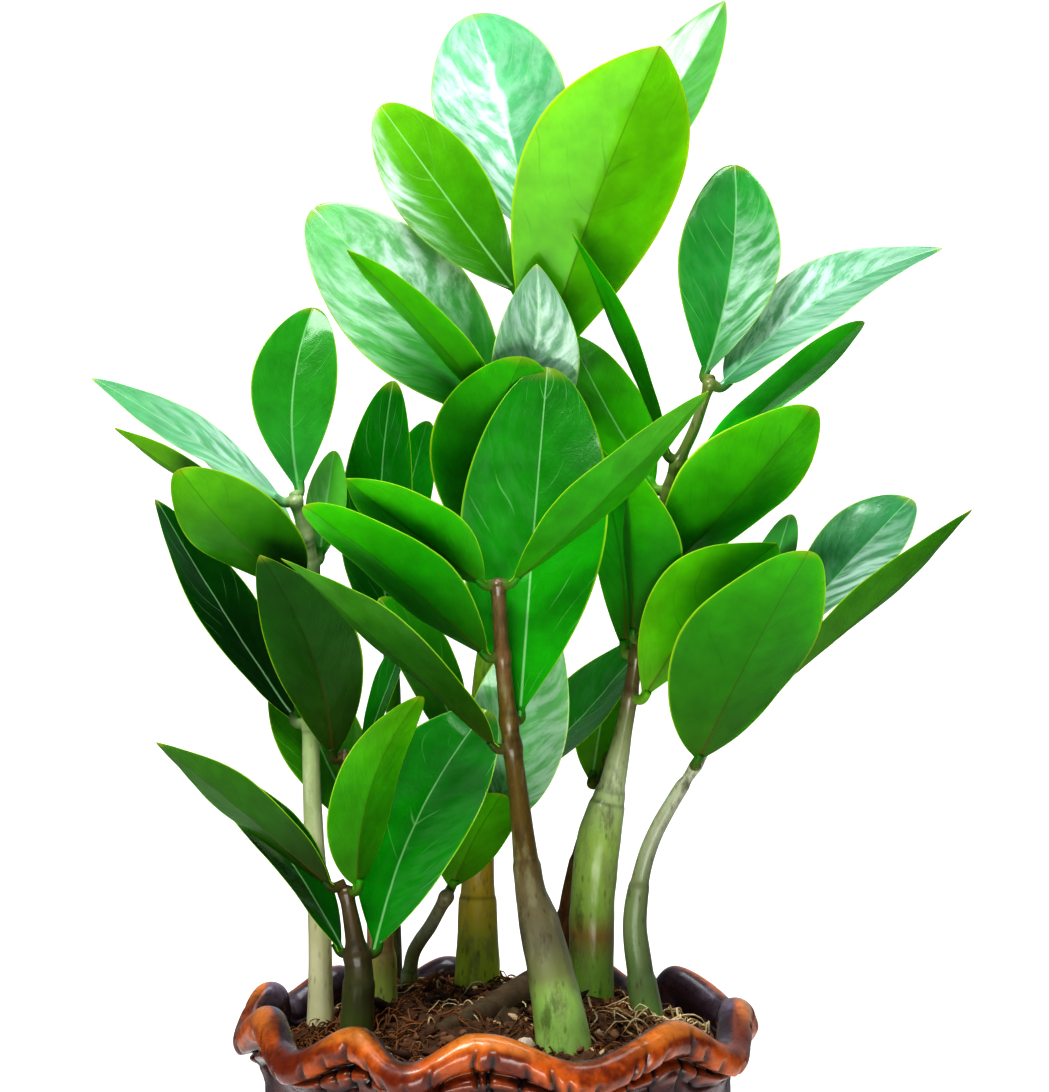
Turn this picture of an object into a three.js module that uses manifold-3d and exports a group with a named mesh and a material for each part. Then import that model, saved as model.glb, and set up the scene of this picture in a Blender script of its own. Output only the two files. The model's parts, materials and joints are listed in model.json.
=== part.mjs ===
import * as THREE from 'three';
import { mergeVertices } from 'three/addons/utils/BufferGeometryUtils.js';
import Module from 'manifold-3d';

// A potted ZZ plant (Zamioculcas zamiifolia) in a glazed pot with a ruffled rim.
// Millimetres, +Z up, -Y is the front. The origin is the middle of the pot's flat underside.

const wasm = await Module();
wasm.setup();

// Pot
const potHeight = 108; // underside to the middle height of the ruffled rim
const baseDiameter = 106;
const rimDiameter = 143; // middle of the lip
const lipReach = 5; // how far the lip leans out past the neck on each side
const potWall = 5;
const potFloor = 7;
const lipDrop = 21; // from the rim down to the neck
const ruffleHeight = 5; // rise and fall of the lip
const ruffleFlare = 2.5; // the low stretches lean out and the high ones lean in
const baseBevel = 3;
const wallCurve = 0.9; // power of the sine that the wall's swell follows
const lipCurve = 1.5; // power that the lip's flare follows
const lobeAngles = [-100, -71, -34, -5, 45, 82, 128, 156, 193, 226]; // crests, from the front
const potSegments = 72;

// Soil and the rhizome that shows at its surface
const soilEdgeDrop = 9; // soil level at the pot wall, below the rim
const moundHeight = 13; // middle of the soil above its edge
const moundShift = 12; // the mound's top lies behind the pot's axis
const rhizomeSize = [21, 17, 13];
const rhizomePlace = [-2, -13]; // in plan
const rhizomeSink = 4; // its middle is this far below the soil surface

// Stems and leaves
const clearance = 0.3; // between pieces that touch
const rootDepth = 14; // stem below the soil surface
const leafThickness = 1;
const stalkDiameter = 2.6; // the short stalk at a leaf's base
const stemSides = 8;

const degrees = Math.PI / 180;
const neckDiameter = rimDiameter - 2 * lipReach; // outside, where the lip begins to flare
const soilRadius = neckDiameter / 2 - potWall - clearance;
const bevelShare = baseBevel / (potHeight - lipDrop);
const floorShare = (potFloor + baseBevel) / (potHeight - lipDrop);

// A closed body through rings with the same number of points. Each end is a flat cap,
// or comes to a point where the first or last ring has one point.
function loft(rings) {
  const positions = [];
  const index = [];
  const starts = rings.map((ring) => {
    const start = positions.length / 3;
    ring.forEach((p) => positions.push(p.x, p.y, p.z));
    return start;
  });
  for (let r = 0; r + 1 < rings.length; r++) {
    const [lower, upper] = [starts[r], starts[r + 1]];
    const [n, m] = [rings[r].length, rings[r + 1].length];
    const sides = Math.max(n, m);
    for (let i = 0; i < sides; i++) {
      const next = (i + 1) % sides;
      if (n > 1) index.push(lower + i, lower + next, upper + (m > 1 ? next : 0));
      if (m > 1) index.push(lower + (n > 1 ? i : 0), upper + next, upper + i);
    }
  }
  const last = rings.length - 1;
  for (let i = 1; i + 1 < rings[0].length; i++) index.push(starts[0], starts[0] + i + 1, starts[0] + i);
  for (let i = 1; i + 1 < rings[last].length; i++) {
    index.push(starts[last], starts[last] + i, starts[last] + i + 1);
  }
  const geometry = new THREE.BufferGeometry();
  geometry.setAttribute('position', new THREE.Float32BufferAttribute(positions, 3));
  geometry.setIndex(index);
  return geometry;
}

function toSolid(geometry) {
  const plain = new THREE.BufferGeometry();
  plain.setAttribute('position', geometry.getAttribute('position'));
  plain.setIndex(geometry.getIndex());
  const merged = mergeVertices(plain, 1e-4);
  const vertProperties = Float32Array.from(merged.getAttribute('position').array);
  const triVerts = Uint32Array.from(merged.getIndex().array);
  return new wasm.Manifold(new wasm.Mesh({ numProp: 3, vertProperties, triVerts }));
}

function toGeometry(solid) {
  const mesh = solid.getMesh();
  const geometry = new THREE.BufferGeometry();
  geometry.setAttribute('position', new THREE.Float32BufferAttribute(mesh.vertProperties, 3));
  geometry.setIndex(Array.from(mesh.triVerts));
  return geometry;
}

function ringAt(radius, height, segments = potSegments) {
  return Array.from({ length: segments }, (_, i) => {
    const angle = (i / segments) * 2 * Math.PI;
    const r = typeof radius === 'function' ? radius(angle) : radius;
    const z = typeof height === 'function' ? height(angle) : height;
    return new THREE.Vector3(r * Math.sin(angle), -r * Math.cos(angle), z);
  });
}

// Pot: +1 on a lobe's crest and -1 midway between two crests.
function ruffle(angle) {
  const turn = angle / degrees;
  const crests = [...lobeAngles, lobeAngles[0] + 360];
  const at = turn > crests[crests.length - 1] ? turn - 360 : turn;
  const i = crests.findLastIndex((crest, k) => crest <= at && k + 1 < crests.length);
  return Math.cos(((at - crests[i]) / (crests[i + 1] - crests[i])) * 2 * Math.PI);
}

// side is +1 on the outer face of the wall, 0 on its middle and -1 on its inner face;
// rise goes from 0 at the neck to 1 at the edge of the lip.
function lipRing(rise, side) {
  const neckMiddle = (neckDiameter - potWall) / 2;
  const radius = (angle) => {
    const lip = rimDiameter / 2 - ruffleFlare * ruffle(angle);
    return neckMiddle + (lip - neckMiddle) * rise ** lipCurve + (side * potWall) / 2;
  };
  const height = (angle) => {
    const lip = potHeight + ruffleHeight * ruffle(angle) * rise;
    return lip - lipDrop * (1 - rise);
  };
  return ringAt(radius, height);
}

// The wall below the neck: share goes from 0 at the underside to 1 at the neck.
function wallRing(share, inset, lift = 0) {
  const base = baseDiameter / 2;
  const neck = neckDiameter / 2;
  const radius = base + (neck - base) * Math.sin((share * Math.PI) / 2) ** wallCurve;
  return ringAt(radius - inset, (potHeight - lipDrop) * share + lift);
}

function makePot() {
  const outside = [bevelShare, 0.3, 0.6].map((share) => wallRing(share, 0));
  const inside = [0.6, 0.3, floorShare].map((share) => wallRing(share, potWall));
  return loft([
    [new THREE.Vector3(0, 0, 0)],
    ringAt(baseDiameter / 2 - baseBevel, 0),
    ...outside,
    lipRing(0, 1),
    lipRing(0.45, 1),
    lipRing(0.9, 1),
    lipRing(1, 0),
    lipRing(0.9, -1),
    lipRing(0.45, -1),
    lipRing(0, -1),
    ...inside,
    ringAt(baseDiameter / 2 - potWall - baseBevel, potFloor),
    [new THREE.Vector3(0, 0, potFloor)],
  ]);
}

// Soil: the height of its surface above the pot's underside.
function soilHeight(x, y) {
  const share = Math.min(1, Math.hypot(x, y) / soilRadius);
  const lean = (moundShift * y) / soilRadius ** 2;
  return potHeight - soilEdgeDrop + moundHeight * (1 - share ** 2) * (1 + lean * 2);
}

function makeSoil(cutters) {
  const inset = potWall + clearance;
  const sides = [0.3, 0.6, 1].map((share) => wallRing(share, inset));
  const top = [1, 0.8, 0.55, 0.3].map((share) =>
    ringAt(soilRadius * share, 0).map((p) => p.setZ(soilHeight(p.x, p.y))));
  const body = loft([
    [new THREE.Vector3(0, 0, potFloor + clearance)],
    ringAt(baseDiameter / 2 - inset - baseBevel, potFloor + clearance),
    wallRing(floorShare, inset, clearance),
    ...sides,
    ...top,
    [new THREE.Vector3(0, 0, soilHeight(0, 0))],
  ]);
  return toGeometry(cutters.reduce((solid, cutter) => solid.subtract(toSolid(cutter)), toSolid(body)));
}

function makeRhizome(grow) {
  const [x, y] = rhizomePlace;
  const shape = new THREE.SphereGeometry(0.5, 14, 9);
  shape.scale(...rhizomeSize.map((size) => size + 2 * grow));
  shape.rotateZ(-25 * degrees);
  shape.translate(x, y, soilHeight(x, y) - rhizomeSink);
  shape.deleteAttribute('normal');
  shape.deleteAttribute('uv');
  return mergeVertices(shape, 1e-4);
}

// Stems. root is a place in plan as a share of the soil's radius. Each later point is
// [x, y, height above the rim, diameter], and the first diameter is the root's.
const stems = {
  front: {
    root: [0.3, -0.62], rootDiameter: 15, colour: 0x8f9a50,
    route: [[12, -36, 29, 11], [9, -35, 40, 8], [6, -33, 64, 6], [2, -32, 97, 5], [0, -31, 126, 4.4]],
  },
  tall: {
    root: [-0.1, 0.25], rootDiameter: 13, colour: 0x6f8a3a,
    route: [[-6, 17, 34, 10], [-4, 17, 89, 8], [2, 15, 139, 6], [6, 12, 170, 5.5], [12, 8, 224, 4]],
  },
  right: {
    root: [0.44, 0.2], rootDiameter: 12, colour: 0x8b8a4c,
    route: [
      [27, 12, 24, 12], [29, 12, 47, 12], [32, 12, 60, 9], [37, 10, 84, 5.5], [43, 9, 120, 4.6],
      [49, 8, 150, 4.2], [56, 7, 166, 4], [61, 5, 181, 3.6],
    ],
  },
  slim: {
    root: [0.7, -0.08], rootDiameter: 8, colour: 0x8d8f62,
    route: [[39, -5, 26, 6.4], [44, -6, 50, 5], [57, -6, 72, 4.2], [67, -3, 88, 3.8], [78, 0, 108, 3.4]],
  },
  pale: {
    root: [-0.83, -0.08], rootDiameter: 8, colour: 0xd0cf9a,
    route: [[-51, -3, 22, 6.5], [-53, 0, 55, 5.5], [-54, 5, 92, 4.6], [-53, 2, 126, 4], [-58, -6, 148, 3.4]],
  },
  left: {
    root: [-0.56, 0.1], rootDiameter: 10, colour: 0x76943c,
    route: [[-34, 5, 20, 8], [-37, 3, 45, 6], [-43, 0, 66, 4.4], [-44, -2, 75, 4]],
  },
  dark: {
    root: [-0.65, -0.36], rootDiameter: 9, colour: 0x40432c,
    route: [[-39, -22, 14, 8.5], [-40, -22, 23, 6], [-43, -22, 39, 4]],
  },
  twig: {
    root: [-0.43, 0.34], rootDiameter: 5, colour: 0x3c4a40,
    route: [[-25, 18, 13, 4.6], [-20, 10, 22, 4.4], [-14, 0, 34, 4]],
  },
  sheath: {
    root: [0.27, 0.45], rootDiameter: 9, colour: 0x7c4c24,
    route: [[18, 27, 24, 8], [22, 26, 44, 7], [27, 26, 59, 5], [29, 27, 71, 3.6]],
  },
  back: {
    root: [-0.53, 0.56], rootDiameter: 8, colour: 0x5f7238,
    route: [[-33, 33, 45, 6.5], [-31, 32, 80, 5], [-32, 30, 105, 4.2], [-35, 29, 128, 3.6]],
  },
};

// Leaves of each stem. at is the height on the stem above the rim, tip is [x, y, height above the rim],
// face is the way the upper side looks, arch is how far the blade bulges to that side, sway is
// how far the midrib bends to the left of someone who looks at the upper side with the tip up,
// wide is the share of the length where the blade is widest, and fold is the angle by which each
// half is raised from flat.
const leaves = {
  front: [
    { at: 79, tip: [-58, -60, 133], width: 32, face: [6, 4, 7], arch: 1 },
    { at: 104, tip: [-52, -55, 147], width: 30, face: [5, 7, 6], arch: 2 },
    { at: 124, tip: [-41, -50, 154], width: 28, face: [4, 7, 6], arch: 0 },
    { at: 124, tip: [57, -60, 178], width: 26, face: [-5, 5, 7], arch: -1 },
    { at: 86, tip: [14, -8, 184], width: 42, face: [-1, -9, 1], arch: 2, wide: 0.55, fold: 6 },
  ],
  tall: [
    { at: 220, tip: [-8, 40, 287], width: 40, face: [-2, -9, 4], arch: 3, sway: -2, wide: 0.55 },
    { at: 176, tip: [45, -25, 273], width: 49, face: [-2, 9, 2], arch: 4, sway: -1, wide: 0.6 },
    { at: 222, tip: [65, 16, 289], width: 28, face: [-4, -8, 4], arch: 0, sway: -5, wide: 0.55 },
    { at: 204, tip: [-34, 18, 259], width: 28, face: [-4, -8, 4], arch: 2, wide: 0.55 },
    { at: 168, tip: [-54, 28, 230], width: 40, face: [-3, -8, 6], arch: 3 },
    { at: 168, tip: [-42, -18, 217], width: 20, face: [5, 5, 6], arch: 2 },
    { at: 158, tip: [11, -8, 213], width: 26, face: [0, -9, -1], arch: 2, sway: -3 },
    { at: 118, tip: [7, -12, 187], width: 36, face: [0, 9, 2], arch: 3, sway: -6, wide: 0.6 },
    { at: 50, tip: [14, -2, 112], width: 30, face: [-2, -9, 1], arch: 2, wide: 0.45, fold: 8 },
    { at: 58, tip: [45, 31, 105], width: 33, face: [-6, -4, 7], arch: -1 },
    { at: 74, tip: [-34, 0, 118], width: 24, face: [5, -7, 5], arch: 2 },
  ],
  right: [
    { at: 180, tip: [68, 15, 242], width: 31, face: [-3, -9, 2], arch: 2, wide: 0.55, sway: -4 },
    { at: 179, tip: [127, 8, 218], width: 30, face: [-3, -6, 8], arch: 5, sway: 3, wide: 0.4 },
    { at: 157, tip: [21, -12, 222], width: 18, face: [7, 2, 4], arch: 1 },
    { at: 156, tip: [105, 12, 197], width: 23, face: [-5, -4, 8], arch: -1 },
    { at: 126, tip: [88, -18, 173], width: 40, face: [-4, 7, 4], arch: -2 },
    { at: 148, tip: [20, 22, 194], width: 24, face: [4, -8, 3], arch: 3, sway: 3 },
    { at: 106, tip: [36, -18, 157], width: 30, face: [8, 6, 1], arch: 1, fold: 35 },
    { at: 101, tip: [27, 24, 162], width: 16, face: [1, 9, 1], arch: 1, sway: 3 },
    { at: 89, tip: [78, -20, 135], width: 36, face: [-4, 8, 4], arch: 5, wide: 0.55 },
  ],
  slim: [
    { at: 71, tip: [85, -45, 134], width: 42, face: [-3, 8, 4], arch: 3, sway: 1, wide: 0.46 },
    { at: 105, tip: [119, 14, 146], width: 31, face: [-5, -6, 6], arch: 1, wide: 0.6 },
    { at: 88, tip: [134, -8, 144], width: 26, face: [-6, 4, 7], arch: -2 },
    { at: 99, tip: [85, 24, 141], width: 18, face: [-5, -6, 3], arch: 1 },
  ],
  pale: [
    { at: 147, tip: [-53, 8, 201], width: 25, face: [1, -9, 3], arch: 2, sway: 4, wide: 0.55 },
    { at: 146, tip: [-115, -6, 181], width: 19, face: [3, -5, 8], arch: 1 },
    { at: 136, tip: [-108, -12, 167], width: 22, face: [4, 3, 8], arch: -1 },
    { at: 137, tip: [-85, 8, 159], width: 14, face: [4, -4, 8], arch: 1 },
    { at: 122, tip: [-88, -28, 156], width: 34, face: [4, 9, 4], arch: -4 },
    { at: 82, tip: [-99, 14, 146], width: 23, face: [6, -6, 3], arch: -1 },
    { at: 128, tip: [-47, 8, 160], width: 12, face: [-1, -9, 1], arch: 1 },
  ],
  left: [
    { at: 73, tip: [-66, -28, 132], width: 28, face: [2, 9, 3], arch: 2, sway: 4 },
    { at: 50, tip: [-64, 28, 104], width: 28, face: [4, -8, 3], arch: 1, sway: 2 },
    { at: 66, tip: [-22, 15, 116], width: 16, face: [-7, -3, 4], arch: 1 },
  ],
  dark: [
    { at: 20, tip: [-90, 3, 73], width: 24, face: [5, -4, 6], arch: 6 },
    { at: 37, tip: [-21, -42, 94], width: 23, face: [-5, 7, 4], arch: 5, sway: -3, wide: 0.4 },
    { at: 19, tip: [-3, -8, 87], width: 38, face: [-3, -8, 4], arch: 3, sway: 4, wide: 0.55 },
    { at: 39, tip: [-94, -39, 81], width: 24, face: [4, 6, 7], arch: 1 },
  ],
  twig: [
    { at: 32, tip: [1, -8, 63], width: 24, face: [-3, 8, 3], arch: 2 },
  ],
  sheath: [
    { at: 62, tip: [33, 34, 94], width: 16, face: [-3, -9, 1], arch: 1 },
  ],
  back: [
    { at: 98, tip: [-30, 8, 180], width: 26, face: [-4, -8, 1], arch: 3, sway: 3 },
    { at: 124, tip: [-21, 36, 168], width: 18, face: [-4, -8, 2], arch: 1 },
  ],
};

const defaultFold = 14;
const leafStations = [0, 0.03, 0.08, 0.18, 0.31, 0.45, 0.59, 0.73, 0.86, 0.95];

const leafPalette = [0x1f7a16, 0x2f8f1c, 0x176014, 0x4aa51e];

const raise = (z) => z + potHeight;
const vector = ([x, y, z]) => new THREE.Vector3(x, y, raise(z));

// A stem's centre line with its diameters, from below the soil to the top.
function stemLine({ root, rootDiameter, route }) {
  const [x, y] = root.map((share) => share * soilRadius);
  const ground = soilHeight(x, y);
  const below = new THREE.Vector3(x, y, ground - rootDepth);
  const points = [below, new THREE.Vector3(x, y, ground), ...route.map(vector)];
  const diameters = [rootDiameter * 0.8, rootDiameter, ...route.map((point) => point[3])];
  const curve = new THREE.CatmullRomCurve3(points, false, 'centripetal');
  const diameterAt = (t) => {
    const place = t * (points.length - 1);
    const i = Math.min(Math.floor(place), points.length - 2);
    return THREE.MathUtils.lerp(diameters[i], diameters[i + 1], place - i);
  };
  return { curve, diameterAt, spans: points.length - 1 };
}

// Where a stem's centre line reaches a height.
function placeAtHeight(line, height) {
  let [low, high] = [0, 1];
  for (let i = 0; i < 30; i++) {
    const middle = (low + high) / 2;
    if (line.curve.getPoint(middle).z < height) low = middle;
    else high = middle;
  }
  return low;
}

function makeStem(line, grow) {
  const steps = line.spans * 2;
  const rings = [];
  for (let s = 0; s <= steps; s++) {
    const t = s / steps;
    const along = line.curve.getTangent(t);
    const side = new THREE.Vector3(1, 0, 0).projectOnPlane(along).normalize();
    const front = along.clone().cross(side);
    const radius = line.diameterAt(t) / 2 + grow;
    const middle = line.curve.getPoint(t);
    if (s === 0) middle.addScaledVector(along, -grow);
    rings.push(Array.from({ length: stemSides }, (_, i) => {
      const angle = (i / stemSides) * 2 * Math.PI;
      const out = side.clone().multiplyScalar(Math.cos(angle)).addScaledVector(front, Math.sin(angle));
      return middle.clone().addScaledVector(out, radius);
    }));
  }
  return loft(rings);
}

// Half the width of a blade as a share of its widest, with a rounded base and tip.
function bladeShape(share, wide) {
  const shift = Math.log(0.5) / Math.log(wide);
  return Math.sin(Math.PI * share ** shift) ** 0.7;
}

function makeLeaf(line, leaf) {
  const t = placeAtHeight(line, raise(leaf.at));
  const node = line.curve.getPoint(t);
  const tip = vector(leaf.tip);
  const out = tip.clone().sub(node).projectOnPlane(line.curve.getTangent(t)).normalize();
  const stalk = stalkDiameter / 2;
  const base = node.clone().addScaledVector(out, line.diameterAt(t) / 2 + clearance + stalk);
  const length = base.distanceTo(tip);
  const along = tip.clone().sub(base).normalize();
  const up = new THREE.Vector3(...leaf.face).projectOnPlane(along).normalize();
  const side = up.clone().cross(along);
  const fold = (leaf.fold ?? defaultFold) * degrees;
  const rings = leafStations.map((station) => {
    const blade = Math.max(0, (station - leafStations[1]) / (1 - leafStations[1]));
    const half = Math.max(stalk, (leaf.width / 2) * bladeShape(blade, leaf.wide ?? 0.5));
    const spread = (half - stalk) / half;
    const thick = THREE.MathUtils.lerp(stalk, leafThickness / 2, Math.min(1, station * 8));
    const middle = base.clone().addScaledVector(along, length * station);
    middle.addScaledVector(up, leaf.arch * 4 * station * (1 - station));
    middle.addScaledVector(side, (leaf.sway ?? 0) * 4 * station * (1 - station));
    const edge = (sign) => middle.clone()
      .addScaledVector(side, sign * half * Math.cos(fold * spread))
      .addScaledVector(up, half * Math.sin(fold * spread));
    return [
      edge(1),
      middle.clone().addScaledVector(up, thick),
      edge(-1),
      middle.clone().addScaledVector(up, -thick),
    ];
  });
  return loft([...rings, [tip]]);
}

const plant = new THREE.Group();

function add(name, geometry, color, roughness) {
  geometry.computeVertexNormals();
  const material = new THREE.MeshStandardMaterial({ color, roughness, metalness: 0 });
  const mesh = new THREE.Mesh(geometry, material);
  mesh.name = name;
  plant.add(mesh);
}

const stemLines = Object.fromEntries(Object.entries(stems).map(([name, stem]) => [name, stemLine(stem)]));
const sockets = Object.values(stemLines).map((line) => makeStem(line, clearance));

add('pot', makePot(), 0xb9581c, 0.25);
add('soil', makeSoil([...sockets, makeRhizome(clearance)]), 0x4a2c1a, 0.95);
add('rhizome', makeRhizome(0), 0x8a6a48, 0.7);
for (const [name, line] of Object.entries(stemLines)) {
  add(`stem_${name}`, makeStem(line, 0), stems[name].colour, 0.5);
  leaves[name].forEach((leaf, i) => {
    add(`leaf_${name}_${i + 1}`, makeLeaf(line, leaf), leafPalette[i % leafPalette.length], 0.3);
  });
}

export default plant;
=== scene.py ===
import json
import math
from functools import partial

import bmesh
import bpy
import numpy as np
from mathutils import Matrix


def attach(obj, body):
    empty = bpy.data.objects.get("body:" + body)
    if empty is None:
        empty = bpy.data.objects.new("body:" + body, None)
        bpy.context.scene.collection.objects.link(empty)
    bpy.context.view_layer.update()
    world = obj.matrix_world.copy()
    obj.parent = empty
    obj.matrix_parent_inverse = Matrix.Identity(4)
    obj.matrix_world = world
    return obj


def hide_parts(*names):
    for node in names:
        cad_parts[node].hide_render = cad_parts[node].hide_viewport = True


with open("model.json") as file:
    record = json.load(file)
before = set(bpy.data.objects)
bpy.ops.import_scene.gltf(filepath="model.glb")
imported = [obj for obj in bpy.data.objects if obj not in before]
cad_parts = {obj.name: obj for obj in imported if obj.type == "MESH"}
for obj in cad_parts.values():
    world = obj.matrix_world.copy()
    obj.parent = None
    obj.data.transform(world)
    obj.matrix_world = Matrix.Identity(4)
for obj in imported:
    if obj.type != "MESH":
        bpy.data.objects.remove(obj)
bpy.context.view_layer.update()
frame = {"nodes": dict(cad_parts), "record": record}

mm = 0.001
potHeight = 108 * mm  # underside to the middle height of the ruffled rim
up = np.array([0.0, 0.0, 1.0])


# small tools

def linear(hexText):
    # sRGB to linear light: below 0.04045 a straight line, above it a power of 2.4
    value = np.array([int(hexText[i:i + 2], 16) for i in (1, 3, 5)]) / 255
    light = np.where(value <= 0.04045, value / 12.92, ((value + 0.055) / 1.055) ** 2.4)
    return np.append(light, 1.0)


def unit(vectors):
    return vectors / np.linalg.norm(vectors, axis=-1, keepdims=True)


def smoothStep(low, high, value):
    # 0 below low, 1 above high, and 3t^2 - 2t^3 between them
    t = np.clip((value - low) / (high - low), 0, 1)
    return t * t * (3 - 2 * t)


def lumps(points, cell, seed):
    # value noise from -1 to 1: random numbers on a cubic lattice, blended by 3t^2 - 2t^3 along each axis
    table = np.random.default_rng(seed).uniform(-1, 1, (32, 32, 32))
    place = points / cell
    corner = np.floor(place).astype(int)
    t = smoothStep(0, 1, place - corner)
    total = np.zeros(points.shape[:-1])
    for offset in np.ndindex(2, 2, 2):
        weight = np.prod(np.where(offset, t, 1 - t), axis=-1)
        i = (corner + offset) % 32
        total += weight * table[i[..., 0], i[..., 1], i[..., 2]]
    return total


def smoothLine(keys, count):
    # the curve through the keys: between two keys a cubic whose end slopes are the keys' own differences
    t = np.linspace(0, len(keys) - 1, count)
    i = np.minimum(t.astype(int), len(keys) - 2)
    f = (t - i)[:, None]
    slope = np.gradient(keys, axis=0)
    return ((2 * f**3 - 3 * f**2 + 1) * keys[i] + (f**3 - 2 * f**2 + f) * slope[i]
            + (3 * f**2 - 2 * f**3) * keys[i + 1] + (f**3 - f**2) * slope[i + 1])


def alongStops(stops, place):
    # the colour at each place along a list of (place, hex), blended in linear light
    places = [stop[0] for stop in stops]
    colours = np.array([linear(stop[1]) for stop in stops])
    return np.stack([np.interp(place, places, colours[:, k]) for k in range(4)], -1)


def skins(points, **values):
    # closed skins from grids of points (count, rows, columns, 3): four-sided faces between
    # neighbouring rings, and a fan of triangles over each end ring
    count, rows, columns = points.shape[:3]
    index = np.arange(count * rows * columns).reshape(count, rows, columns)
    low, high = index[:, :-1], index[:, 1:]
    quads = np.stack([low, np.roll(low, -1, 2), np.roll(high, -1, 2), high], -1).reshape(-1, 4)
    ends = [index[:, 0, ::-1], index[:, -1]]
    fans = [np.stack([np.repeat(end[:, :1], columns - 2, 1), end[:, 1:-1], end[:, 2:]], -1) for end in ends]
    tris = np.concatenate(fans).reshape(-1, 3)
    verts = points.reshape(-1, 3)
    a, b, c = (verts[quads[:, k]] - verts.mean(0) for k in (0, 1, 2))
    if np.einsum("ij,ij->i", np.cross(a, b), c).sum() < 0:
        quads, tris = quads[:, ::-1], tris[:, ::-1]
    shape = (count, rows, columns)
    flat = {}
    for name, value in values.items():
        value = np.asarray(value, float)
        wide = shape + (4,) if value.shape[-1:] == (4,) and value.ndim > 0 else shape
        flat[name] = np.broadcast_to(value, wide).reshape(len(verts), -1)
    return {"verts": verts, "quads": quads, "tris": tris, "values": flat}


def makePiece(name, parts, material, slot, *replaced):
    # joins closed skins into one piece, with their values as attributes of its points
    starts = np.cumsum([0] + [len(part["verts"]) for part in parts])
    verts = np.concatenate([part["verts"] for part in parts])
    quads = np.concatenate([part["quads"] + start for part, start in zip(parts, starts)])
    tris = np.concatenate([part["tris"] + start for part, start in zip(parts, starts)])
    corners = np.concatenate([quads.ravel(), tris.ravel()])
    mesh = bpy.data.meshes.new(name)
    mesh.vertices.add(len(verts))
    mesh.vertices.foreach_set("co", verts.astype(np.float32).ravel())
    mesh.loops.add(len(corners))
    mesh.loops.foreach_set("vertex_index", corners.astype(np.int32))
    mesh.polygons.add(len(quads) + len(tris))
    first = np.concatenate([np.arange(len(quads)) * 4, len(quads) * 4 + np.arange(len(tris)) * 3])
    mesh.polygons.foreach_set("loop_start", first.astype(np.int32))
    mesh.update(calc_edges=True)
    for key in parts[0]["values"]:
        value = np.concatenate([part["values"][key] for part in parts]).astype(np.float32)
        kind, field = ("FLOAT_COLOR", "color") if value.shape[1] == 4 else ("FLOAT", "value")
        mesh.attributes.new(key, kind, "POINT").data.foreach_set(field, value.ravel())
    mesh.shade_smooth()
    mesh.materials.append(material)
    piece = bpy.data.objects.new(name, mesh)
    bpy.context.scene.collection.objects.link(piece)
    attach(piece, "root")
    if replaced:
        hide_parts(*replaced)


def tubes(paths, radii, sides, **values):
    # tubes along paths (count, stations, 3): each ring is a circle square to the path
    path = np.asarray(paths, float)
    ahead = unit(np.gradient(path, axis=1))
    span = np.abs(unit(path[:, -1] - path[:, 0] + 1e-9))
    helper = np.eye(3)[np.argmin(span, axis=1)][:, None]
    side = unit(np.cross(helper, ahead))
    front = np.cross(ahead, side)
    angle = np.arange(sides) / sides * 2 * np.pi
    out = side[:, :, None] * np.cos(angle)[:, None] + front[:, :, None] * np.sin(angle)[:, None]
    radius = np.broadcast_to(radii, path.shape[:2])[..., None, None]
    return skins(path[:, :, None] + out * radius, **values)


def mergedPoints(node):
    # the corners of a CAD node, each once
    shape = bmesh.new()
    shape.from_mesh(node.data)
    bmesh.ops.remove_doubles(shape, verts=shape.verts, dist=0.01 * mm)
    points = np.array([vert.co for vert in shape.verts], float)
    shape.free()
    return points


def addNode(tree, kind, inputs=None, out=0, **settings):
    # adds one node, sets its settings, fills or links its inputs and gives the output socket asked for
    node = tree.nodes.new("ShaderNode" + kind)
    for key, value in settings.items():
        setattr(node, key, value)
    for key, value in (inputs or {}).items():
        if isinstance(value, bpy.types.NodeSocket):
            tree.links.new(value, node.inputs[key])
        else:
            node.inputs[key].default_value = value
    return node.outputs[out] if node.outputs else node


# settings that many nodes share
softStep = {"interpolation_type": "SMOOTHSTEP"}
inColour = {"data_type": "RGBA"}
multiplied = {"operation": "MULTIPLY"}
added = {"operation": "ADD"}


def newMaterial(name):
    # an empty material, and addNode tied to its node tree
    material = bpy.data.materials.new(name)
    material.use_nodes = True
    material.node_tree.nodes.clear()
    return material, partial(addNode, material.node_tree)


# materials

glaze = {
    "orange": "#C4601A", "amberHighlight": "#E08C36", "redBrown": "#742C0C",
    "plum": "#3A2430", "mauveReflection": "#8E7890", "grooveShade": "#0C0606",
    "patch": 17 * mm,  # width of the drifts where the glaze runs thin or thick
    "crackle": 2.2 * mm,  # width of the fine mottling
}


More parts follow.
